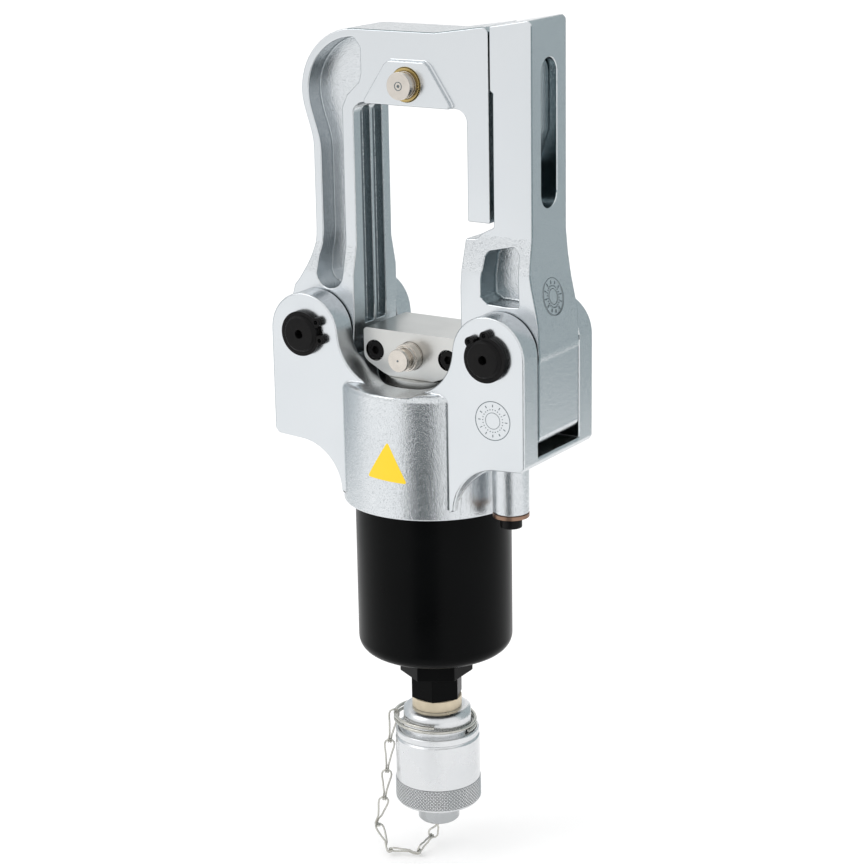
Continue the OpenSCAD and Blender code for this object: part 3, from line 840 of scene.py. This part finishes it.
@dataclass
class YokeFrame:
    """The hinged yoke with its kidney pockets and grooved arm."""

    pocket_floor: float = 4.5
    pocket_low: float = 18
    pocket_fillet: float = 2.6
    side_y: float = 12.3
    wall_y: Pair = (4.2, 12.3)
    wall_x: float = -27
    wall_recess: float = 0.35
    # The two grooves in the arm's inner face.
    groove_y: Pair = (0.825, 7.425)
    groove_x: Pair = (-31, -25.9)
    groove_top: float = 89
    groove_recess: float = 0.62
    # Where the long edges of the yoke's top begin, and how far up their rounding faces.
    top_x: float = -28
    top_y: float = 11
    top_z: float = 112
    top_slope: Pair = (0.6, 0.98)
    rounding: float = 0.6

    def in_pocket(self, point: Vector) -> bool:
        """Says whether a point lies on a pocket's floor."""
        return abs(abs(point.y) - self.pocket_floor) < NEAR and point.z > self.pocket_low

    def in_wall(self, middle: Vector, normal: Vector) -> bool:
        """Says whether a face is the outer wall of a kidney pocket."""
        return (within(abs(middle.y), self.wall_y) and middle.x < self.wall_x
                and normal.x > 0.05)

    def in_groove(self, middle: Vector, normal: Vector) -> bool:
        """Says whether a face lies in a groove."""
        return (within(abs(middle.y), self.groove_y) and within(middle.x, self.groove_x)
                and middle.z < self.groove_top)

    def on_top_edge(self, middle: Vector, normal: Vector) -> bool:
        """Says whether a face rounds a long edge of the top."""
        return (middle.z > self.top_z and middle.x > self.top_x and abs(middle.y) > self.top_y
                and within(normal.z, self.top_slope) and abs(normal.y) > 0.2
                and abs(normal.x) < 0.3)

    def build(self, shop: Workshop) -> None:
        """Builds the yoke.

        Args:
            shop: The workshop that mounts it.
        """
        yoke = plain_copy("yoke", "yoke_frame")
        fillet(yoke, self.in_pocket, self.pocket_fillet, 5)
        tone(yoke, Layer.CAST, 1.0, off_sides(self.side_y))
        # Paints shade on the pockets' outer walls and, darker, in the arm's grooves.
        tone(yoke, Layer.PAINTED_SHADE, self.wall_recess, self.in_wall)
        tone(yoke, Layer.PAINTED_SHADE, self.groove_recess, self.in_groove)
        round_edges(yoke, self.rounding, 3)
        # Paints the rounding of the top's long edges in full shade, a painted dark reflection
        # along those edges.
        tone(yoke, Layer.PAINTED_SHADE, FULL_SHADE, self.on_top_edge)
        shop.mount(yoke, Body.YOKE, "zinc", "yoke")


@dataclass
class LatchArm:
    """The swing latch with its pocket, slot and stamp."""

    pocket_floor: float = 4.7
    pocket_y: Pair = (4, 12.7)
    pocket_z: Pair = (12, 42)
    pocket_right: float = 50
    pocket_fillet: float = 0.9
    pocket_recess: float = 0.95
    side_y: float = 12.5
    slot_y: float = 5.8
    slot_x: Pair = (36, 54)
    slot_z: Pair = (54, 111)
    # Where the long outer corners begin and end, and how far outwards their rounding faces.
    corner_x: float = 53
    corner_y: float = 12
    corner_top: float = 122
    corner_slope: Pair = (0.5, 0.985)
    corner_recess: float = 0.9
    rounding: float = 0.6
    stamp_at: Triple = (56.33, -0.9, 20.2)
    stamp_out: Triple = (1, 0, 0.227)
    stamp_r: float = 7.2
    stamp_weight: float = 1.5

    def in_pocket(self, point: Vector) -> bool:
        """Says whether a point lies on a pocket's floor."""
        return abs(abs(point.y) - self.pocket_floor) < NEAR and within(point.z, self.pocket_z)

    def in_wall(self, middle: Vector, normal: Vector) -> bool:
        """Says whether a face is the left wall of a pocket."""
        return (within(abs(middle.y), self.pocket_y) and within(middle.z, self.pocket_z)
                and middle.x < self.pocket_right and normal.x > 0.3)

    def in_slot(self, middle: Vector, normal: Vector) -> bool:
        """Says whether a face lies in the slot between the latch's cheeks."""
        return (abs(middle.y) < self.slot_y and within(middle.z, self.slot_z)
                and within(middle.x, self.slot_x))

    def on_corner(self, middle: Vector, normal: Vector) -> bool:
        """Says whether a face rounds a long outer corner."""
        return (middle.x > self.corner_x and abs(middle.y) > self.corner_y
                and middle.z < self.corner_top and within(normal.x, self.corner_slope)
                and abs(normal.y) > 0.17)

    def build(self, shop: Workshop) -> None:
        """Builds the latch and its stamp.

        Args:
            shop: The workshop that mounts them.
        """
        latch = plain_copy("latch", "latch_arm")
        fillet(latch, self.in_pocket, self.pocket_fillet, 4)
        tone(latch, Layer.CAST, 1.0, off_sides(self.side_y))
        # Paints shade on the pockets' left walls and full shade in the slot between the cheeks.
        tone(latch, Layer.PAINTED_SHADE, self.pocket_recess, self.in_wall)
        tone(latch, Layer.PAINTED_SHADE, FULL_SHADE, self.in_slot)
        round_edges(latch, self.rounding, 3)
        # Paints the rounding of the long outer corners dark, a painted dark reflection along them.
        tone(latch, Layer.PAINTED_SHADE, self.corner_recess, self.on_corner)
        shop.mount(latch, Body.LATCH, "zinc", "latch")
        latch_stamp = Stamp("latch_stamp", at(*self.stamp_at), Vector(self.stamp_out),
                            self.stamp_r, self.stamp_weight)
        shop.mount(latch_stamp.build(), Body.LATCH, "zinc", finish="zinc_mark")


@dataclass
class RoundedPieces:
    """The pieces whose CAD shape is right and whose edges are rounded here."""

    # The CAD node, the piece's name, its body and the width of its rounding.
    rows: tuple[tuple[str, str, Body, float], ...] = (
        ("barrel", "barrel_tube", Body.HEAD, 0.4),
        ("die_adapter", "die_block", Body.RAM, 0.35),
        ("adapter_screws", "block_screws", Body.RAM, 0.2),
        ("lower_die_pin", "lower_push_pin", Body.LOWER_PIN, 0.3),
        ("upper_die_button", "upper_push_button", Body.UPPER_BUTTON, 0.3),
        ("upper_bush", "button_bush", Body.YOKE, 0.2),
        ("yoke_pin", "left_pivot_pin", Body.HEAD, 0.2),
        ("latch_pin", "right_pivot_pin", Body.HEAD, 0.2),
        ("yoke_pin_clips", "left_pin_rings", Body.HEAD, 0.12),
        ("latch_pin_clips", "right_pin_rings", Body.HEAD, 0.12),
        ("lug_screw", "port_screw", Body.HEAD, 0.25),
        ("hex_adapter", "barrel_hexagon", Body.HEAD, 0.35),
        ("hex_nipple", "nipple_hexagon", Body.HEAD, 0.35),
        ("sealing_ring", "beige_ring", Body.HEAD, 0.3),
        ("coupler_body", "coupling_collar", Body.HEAD, 0.35),
        ("cap_swivel", "swivel_stub", Body.SWIVEL, 0.2),
    )
    # The finishes of the nodes that don't look like the rest of their slot.
    finishes: dict[str, str] = field(default_factory=lambda: {
        "hex_adapter": "black_barrel", "hex_nipple": "black_barrel", "cap_swivel": "turned_end"})

    def build(self, shop: Workshop) -> None:
        """Rounds, dresses and mounts every piece of the list."""
        for node, name, body, width in self.rows:
            shop.mount(round_edges(plain_copy(node, name), width), body, shop.slots[node], node,
                       finish=self.finishes.get(node))


@dataclass
class CentreMarks:
    """The lathe's marks on the outer faces of the two release pins."""

    # Each ring's radius and its line's thickness.
    upper_rings: tuple[Pair, ...] = ((1.55, 0.2), (0.35, 0.3))
    lower_rings: tuple[Pair, ...] = ((0.25, 0.22),)

    def mark(self, name: str, node: str, rings: tuple[Pair, ...]) -> Piece:
        """Models rings turned into the middle of a pin's outer face.

        Args:
            name: The piece's name.
            node: The pin's CAD node.
            rings: The rings.

        Returns:
            The rings as one mesh at the origin.
        """
        low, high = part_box(node)
        centre = Vector(((low[0] + high[0]) / 2, low[1], (low[2] + high[2]) / 2))
        made = [torus(name + "_ring", centre, (pi / 2, 0, 0), radius, thick, 32)
                for radius, thick in rings]
        return smooth(join(name, made), 60)

    def build(self, shop: Workshop) -> None:
        """Builds the marks of both pins."""
        shop.mount(self.mark("upper_pin_mark", "upper_die_button", self.upper_rings),
                   Body.UPPER_BUTTON, "nickel", finish="zinc_mark")
        shop.mount(self.mark("lower_pin_mark", "lower_die_pin", self.lower_rings),
                   Body.LOWER_PIN, "nickel", finish="zinc_mark")


@dataclass
class DustCap:
    """The dust cap with its band of real diamond knurls."""

    root_r: float = 17.5
    crest: float = 0.4
    top: float = -190.7
    low: float = -199.8
    around: int = 76
    rows: int = 6
    # The painted shade values of the knurls' grooves and tips: shade in the grooves, fading to
    # none before the tips.
    groove_recess: float = 1.0
    tip_recess: float = -0.5
    shell_gap: float = 0.02
    rounding: float = 0.22

    def grid(self) -> Piece:
        """Models the band's plain wall as rows of square faces.

        Returns:
            The wall, open at both ends.
        """
        step = (self.top - self.low) / self.rows
        deselect()
        bpy.ops.mesh.primitive_cylinder_add(
            vertices=self.around, radius=self.root_r * MM, depth=step * MM,
            end_fill_type="NOTHING", location=at(0, 0, self.low + step / 2))
        band = settle(named("cap_knurl"))
        open_mesh(band, "EDGE")
        for row in range(1, self.rows):
            height = at(0, 0, self.low + step * row).z
            choose_edges(band, lambda edge: all(abs(vertex.co.z - height) < WELD
                                                for vertex in edge.verts))
            bpy.ops.mesh.extrude_edges_move(TRANSFORM_OT_translate={"value": (0, 0, step * MM)})
        bpy.ops.mesh.select_all(action="SELECT")
        bpy.ops.mesh.normals_make_consistent(inside=False)
        close_mesh()
        return band

    def band(self) -> Piece:
        """Models the knurled band: diamonds between the grid's lines, each raised to a tip, with
        painted shade in the grooves.

        Returns:
            The band, a ring of small pyramids.
        """
        band = self.grid()
        corners = len(band.data.vertices)
        open_mesh(band, "FACE")
        bpy.ops.mesh.select_all(action="SELECT")
        bpy.ops.mesh.poke(offset=0)
        bpy.ops.mesh.select_mode(type="EDGE")
        choose_edges(band, lambda edge: len(edge.link_faces) == 2
                     and all(vertex.index < corners for vertex in edge.verts))
        bpy.ops.mesh.dissolve_edges(use_verts=False, use_face_split=False)
        bpy.ops.mesh.select_mode(type="FACE")
        bpy.ops.mesh.select_all(action="SELECT")
        bpy.ops.mesh.poke(offset=self.crest * MM)
        close_mesh()
        mesh = bmesh.new()
        mesh.from_mesh(band.data)
        # Paints shade into the knurls' grooves, per vertex, for the finish to read.
        store = mesh.verts.layers.float.new(Layer.PAINTED_SHADE.value)
        for vertex in mesh.verts:
            in_groove = hypot(vertex.co.x, vertex.co.y) < self.half_r() * MM
            vertex[store] = self.groove_recess if in_groove else self.tip_recess
        mesh.to_mesh(band.data)
        mesh.free()
        return band

    def half_r(self) -> float:
        """Gives the radius halfway up the knurls."""
        return self.root_r + 0.5 * self.crest

    def shell(self) -> Piece:
        """Models the cap's turned shell, drawn in behind the knurls.

        Returns:
            The shell.
        """
        shell = plain_copy("dust_cap", "cap_shell")
        for vertex in shell.data.vertices:
            reach = hypot(vertex.co.x, vertex.co.y)
            if reach > self.half_r() * MM:
                share = (self.root_r + self.shell_gap) * MM / reach
                vertex.co.x *= share
                vertex.co.y *= share
        return round_edges(shell, self.rounding)

    def build(self, shop: Workshop) -> None:
        """Builds the shell and the band."""
        shop.mount(self.shell(), Body.CAP, "coupling_steel", "dust_cap")
        shop.mount(self.band(), Body.CAP, "coupling_steel")


@dataclass
class ChainAndRing:
    """The split ring round the coupling and the eight wire links under it."""

    flange: float = -168.4
    # How far the chain's own frame is turned about the upright axis.
    turn: float = 33.0
    ring_r: float = 16.6
    ring_wire: float = 0.7
    ring_shift: float = 0.9
    ring_tilt: float = 0.9
    ring_rise: float = 4.47
    ring_pitch: float = 2.025
    ring_start: float = -92
    ring_sweep: float = 663
    ring_steps: int = 176
    link_wire: float = 0.4
    # A link's loop and its hook, as radii of the wire's middle line.
    loop: float = 2.0
    hook: float = 1.12
    hook_side: float = 0.46
    # How far before the joint the wire enters the hook, and how far beside it.
    hook_lead: float = 1.8
    hook_beside: float = 0.85
    # The legs' points: a share of the loop's width, and a share of the way to the hook.
    leg: tuple[Pair, ...] = ((0.93, 0.15), (0.62, 0.45))
    neck: Pair = (1.6, 0.78)
    # Where link meets link, with heights from the flange, and the cap's eye at the end.
    joints: tuple[Triple, ...] = (
        (-17.6, 0, 7.1), (-19.9, 0, -6.4), (-21.4, 0, -20.1), (-22.7, 0, -32.6),
        (-25.8, 0, -44.7), (-21, -8.5, -52.5), (-9.2, -9.8, -53.1), (-3.6, -1.8, -50.4),
        (0.5, 0, -44.3))
    # The axis of the wire at each of them.
    axes: tuple[Triple, ...] = (
        (1, 0, -0.3), (1, 0, -0.2), (1, 0, -0.1), (1, 0, -0.15), (0.77, 0.61, -0.2),
        (0.05, 0.69, -0.72), (0.02, 0.375, -0.927), (0.82, -0.34, -0.46), (0.6, -0.8, 0))

    def placed(self, point: Vector) -> Vector:
        """Turns a point of the chain's own frame into the row frame."""
        return at(*(Matrix.Rotation(radians(self.turn), 3, "Z") @ point))

    def split_ring(self) -> Piece:
        """Models the split ring, nearly two turns of wire.

        Returns:
            The ring.
        """
        path = []
        for k in range(self.ring_steps + 1):
            along = self.ring_sweep * k / self.ring_steps
            angle = radians(self.ring_start - along)
            height = (self.flange + self.ring_rise - self.ring_pitch * along / 360
                      + self.ring_tilt * (1 - cos(angle)))
            path.append(self.placed(Vector((self.ring_r * cos(angle) - self.ring_shift,
                                            self.ring_r * sin(angle), height))))
        return wire("ring_of_wire", path, self.ring_wire, 4)

    def half(self, start: Vector, end: Vector, width: Vector, pin: Vector,
             side: int) -> list[Vector]:
        """Gives one half of a link, from its loop's top to its hook's end.

        Args:
            start: The joint that the loop goes round.
            end: The joint that the hook goes round.
            width: The loop's width direction.
            pin: The hook's axis.
            side: 1 or -1, for the two halves.

        Returns:
            The points of the half.
        """
        along = (end - start).normalized()
        span = (end - start).length - self.loop - self.hook_lead
        across = (width - along * width.dot(along)).normalized()
        axis = pin.normalized()
        ahead = (along - axis * along.dot(axis)).normalized()
        beside = axis.cross(ahead)
        between = (across + axis).normalized()
        shift = self.hook_side * side * axis
        bend = [start + self.loop * (side * cos(angle) * across
                                     + (1 - sin(angle)) * along)
                for angle in map(radians, (90, 60, 30, 0))]
        legs = [start + wide * self.loop * side * across + (self.loop + way * span) * along
                for wide, way in self.leg]
        neck = [start + self.neck[0] * self.hook_side * side * between
                + (self.loop + self.neck[1] * span) * along,
                end + shift + self.hook_beside * beside - self.hook_lead * ahead]
        curl = [end + shift + self.hook * (cos(angle) * beside + sin(angle) * ahead)
                for angle in map(radians, range(0, 181, 36))]
        return bend + legs + neck + curl

    def links(self) -> Piece:
        """Models the eight links as one piece.

        Returns:
            The chain.
        """
        joints = [Vector((x, y, self.flange + z)) for x, y, z in self.joints]
        axes = [Vector(axis) for axis in self.axes]
        made = []
        for i in range(len(joints) - 1):
            ends = joints[i], joints[i + 1], axes[i], axes[i + 1]
            right, left = self.half(*ends, 1), self.half(*ends, -1)
            run = [self.placed(point) for point in left[:0:-1] + right]
            made.append(wire(f"link_{i}", run, self.link_wire, 2))
        return smooth(join("cap_chain", made), 60)

    def build(self, shop: Workshop) -> None:
        """Builds the ring and the chain."""
        shop.mount(self.split_ring(), Body.HEAD, "chain_steel", "split_ring")
        shop.mount(self.links(), Body.HEAD, "chain_steel", "chain")


@dataclass(frozen=True)
class Card:
    """A plain card that shows only in reflections.

    Each of its two edges runs from one azimuth round the object to another, in degrees, at a
    reach and a height in metres.
    """

    name: str
    colour: Colour
    near_edge: tuple[float, float, float, float]
    far_edge: tuple[float, float, float, float]

    def corners(self, low: float) -> list[Vector]:
        """Gives the card's corners in order.

        Args:
            low: The height of the object's lowest point, in metres.

        Returns:
            The four corners in the row frame, in metres.
        """
        start, end, reach, height = self.near_edge
        spots = [(start, reach, height), (end, reach, height)]
        start, end, reach, height = self.far_edge
        spots += [(end, reach, height), (start, reach, height)]
        return [Vector((reach * sin(radians(azimuth)),
                        -reach * cos(radians(azimuth)), low + height))
                for azimuth, reach, height in spots]


@dataclass
class Studio:
    """The floor, the lights and the camera of the product view."""

    azimuth: float = 32.93
    elevation: float = 16.5
    roll: float = 1.0
    # The camera's distance and the height that it aims at, in millimetres.
    distance: float = 918.83
    target_z: float = -44.63
    lens: float = 95.57
    sensor: float = 36
    # The view's shift in pixels of the square picture.
    shift: Pair = (-0.51, 6.98)
    picture: int = 864
    # The lengths from here on are metres.
    clip: Pair = (0.01, 50)
    floor_size: float = 16
    floor_gap: float = 0.0005
    floor_white: Colour = (0.96, 0.96, 0.96)
    floor_glow: float = 0.07
    sky: float = 1.07
    lamp_place: Triple = (-0.75, -0.95, 1.15)
    lamp_target: Triple = (0, 0, 0.03)
    lamp_size: float = 0.9
    lamp_power: float = 4
    cards: tuple[Card, ...] = (
        Card("dark_card", (0.025, 0.04, 0.045), (2, 38, 0.24, 0.001), (2, 38, 1.5, 0.001)),
        Card("grey_card", (0.41, 0.465, 0.48), (110, 188, 0.75, 0), (110, 188, 0.75, 1.5)),
        Card("pale_card", (0.59, 0.63, 0.65), (-150, -62, 0.7, 0), (-150, -62, 0.7, 0.4)),
        Card("high_card", (0.03, 0.045, 0.05), (-112, -40, 0.55, 1.1), (-150, -28, 0.12, 1.35)),
    )

    def camera(self) -> None:
        """Sets up the camera at the photograph's angle."""
        az, el, roll = map(radians, (self.azimuth, self.elevation, self.roll))
        back = Vector((sin(az) * cos(el), -cos(az) * cos(el), sin(el)))
        right = Vector((cos(az), sin(az), 0))
        up = back.cross(right)
        side = right * cos(roll) - up * sin(roll)
        above = right * sin(roll) + up * cos(roll)
        turn = Matrix((side, above, back)).transposed()
        deselect()
        bpy.ops.object.camera_add(location=at(0, 0, self.target_z) + back * self.distance * MM,
                                  rotation=turn.to_euler())
        camera = bpy.context.object
        camera.name = "product_camera"
        camera.data.sensor_width = self.sensor
        camera.data.lens = self.lens
        camera.data.shift_x = self.shift[0] / self.picture
        camera.data.shift_y = self.shift[1] / self.picture
        camera.data.clip_start, camera.data.clip_end = self.clip
        bpy.context.scene.camera = camera

    def paint(self, obj: Piece, name: str, inputs: Inputs) -> None:
        """Gives a plane of the studio a plain material.

        Args:
            obj: The plane.
            name: The material's name.
            inputs: The values of its shader.
        """
        material, nodes, shader = new_material(name)
        nodes.fill(shader, inputs)
        obj.data.materials.append(material)

    def floor(self) -> None:
        """Lays the pale floor under the lowest link."""
        deselect()
        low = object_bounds()[0].z
        bpy.ops.mesh.primitive_plane_add(size=self.floor_size,
                                         location=(0, 0, low - self.floor_gap))
        floor = named("studio_floor")
        self.paint(floor, "PaleFloor", {
            "Base Color": (*self.floor_white, 1), "Roughness": 0.9, "Specular IOR Level": 0.1,
            "Emission Color": (1, 1, 1, 1), "Emission Strength": self.floor_glow})
        floor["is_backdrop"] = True

    def hang_cards(self) -> None:
        """Lays one card before the object, stands two behind it and hangs one over it."""
        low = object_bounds()[0].z
        for card in self.cards:
            deselect()
            bpy.ops.mesh.primitive_plane_add(size=1)
            plane = settle(named(card.name))
            for index, corner in zip((0, 1, 3, 2), card.corners(low)):
                plane.data.vertices[index].co = corner
            self.paint(plane, card.name, {
                "Base Color": (*card.colour, 1), "Roughness": 1, "Specular IOR Level": 0})
            plane.visible_camera = False
            plane.visible_shadow = False
            plane.visible_diffuse = False
            plane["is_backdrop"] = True

    def lamp(self) -> None:
        """Hangs the soft square light so that it faces the object."""
        deselect()
        direction = (Vector(self.lamp_target) - Vector(self.lamp_place)).normalized()
        bpy.ops.object.light_add(type="AREA", location=self.lamp_place,
                                 rotation=direction.to_track_quat("-Z", "Y").to_euler())
        lamp = bpy.context.object
        lamp.name = "key_light"
        lamp.data.shape = "SQUARE"
        lamp.data.size = self.lamp_size
        lamp.data.energy = self.lamp_power

    def world(self) -> None:
        """Gives the world an even pale light."""
        world = bpy.data.worlds.new("PaleWorld")
        world.use_nodes = True
        Nodes(world.node_tree).fill(world.node_tree.nodes["Background"],
                                    {"Color": (1, 1, 1, 1), "Strength": self.sky})
        bpy.context.scene.world = world
        bpy.context.scene.view_settings.view_transform = "Standard"

    def build(self) -> None:
        """Builds the whole studio."""
        self.floor()
        self.world()
        self.lamp()
        self.hang_cards()


def main() -> None:
    """Builds every sub-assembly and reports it."""
    studio = Studio()
    studio.camera()
    shop = Workshop()
    shop.dress_nodes()
    for assembly in (HeadForging(), YokeFrame(), LatchArm(), RoundedPieces(), CentreMarks(),
                     DustCap(), ChainAndRing()):
        assembly.build(shop)
        LOG.info("%s is built", type(assembly).__name__)
    studio.build()


if __name__ == "__main__":
    logging.basicConfig(level=logging.INFO, format="%(name)s: %(message)s")
    main()
